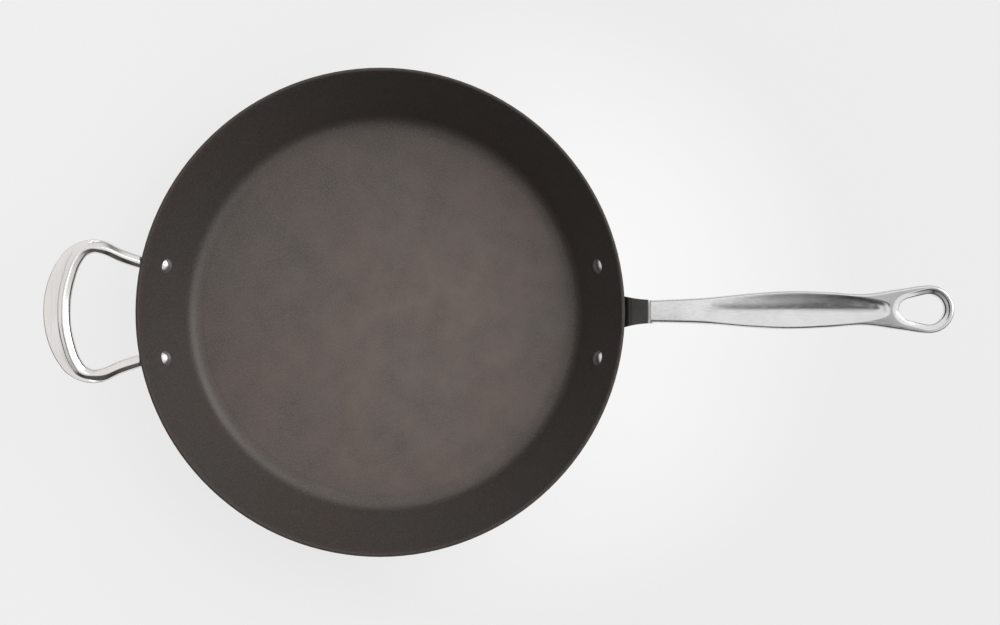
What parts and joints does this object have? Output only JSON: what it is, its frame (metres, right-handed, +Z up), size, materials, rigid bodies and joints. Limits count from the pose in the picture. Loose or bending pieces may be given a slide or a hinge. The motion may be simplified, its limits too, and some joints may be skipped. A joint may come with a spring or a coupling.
{
  "type": "skillet",
  "caption": "Round frying pan with a flat floor, flared wall, riveted long steel grip ending in a hanging loop, and a cast steel helper handle opposite.",
  "frame": {"origin": "centre of the pan's flat base, on the surface it rests on", "axes": "+X along the long handle, +Z up out of the pan, +Y to the left of someone looking along +X"},
  "size_m": [0.5806, 0.32, 0.0951],
  "materials": {
    "seasoned_iron": "seasoned, satin, with a fine grain",
    "bracket_iron": "dark matt casting",
    "grip_steel": "fine polish",
    "helper_steel": "fine polish",
    "rivet_steel": "polished",
    "screw_steel": "bright"
  },
  "bodies": {
    "root": {"pan_body": "seasoned_iron", "handle_bracket": "bracket_iron", "grip_upper_shell": "grip_steel", "grip_lower_shell": "grip_steel", "grip_screw": "screw_steel", "helper_handle": "helper_steel", "handle_rivet_left": "rivet_steel", "handle_rivet_right": "rivet_steel", "helper_rivet_left": "rivet_steel", "helper_rivet_right": "rivet_steel"}
  },
  "joints": []
}
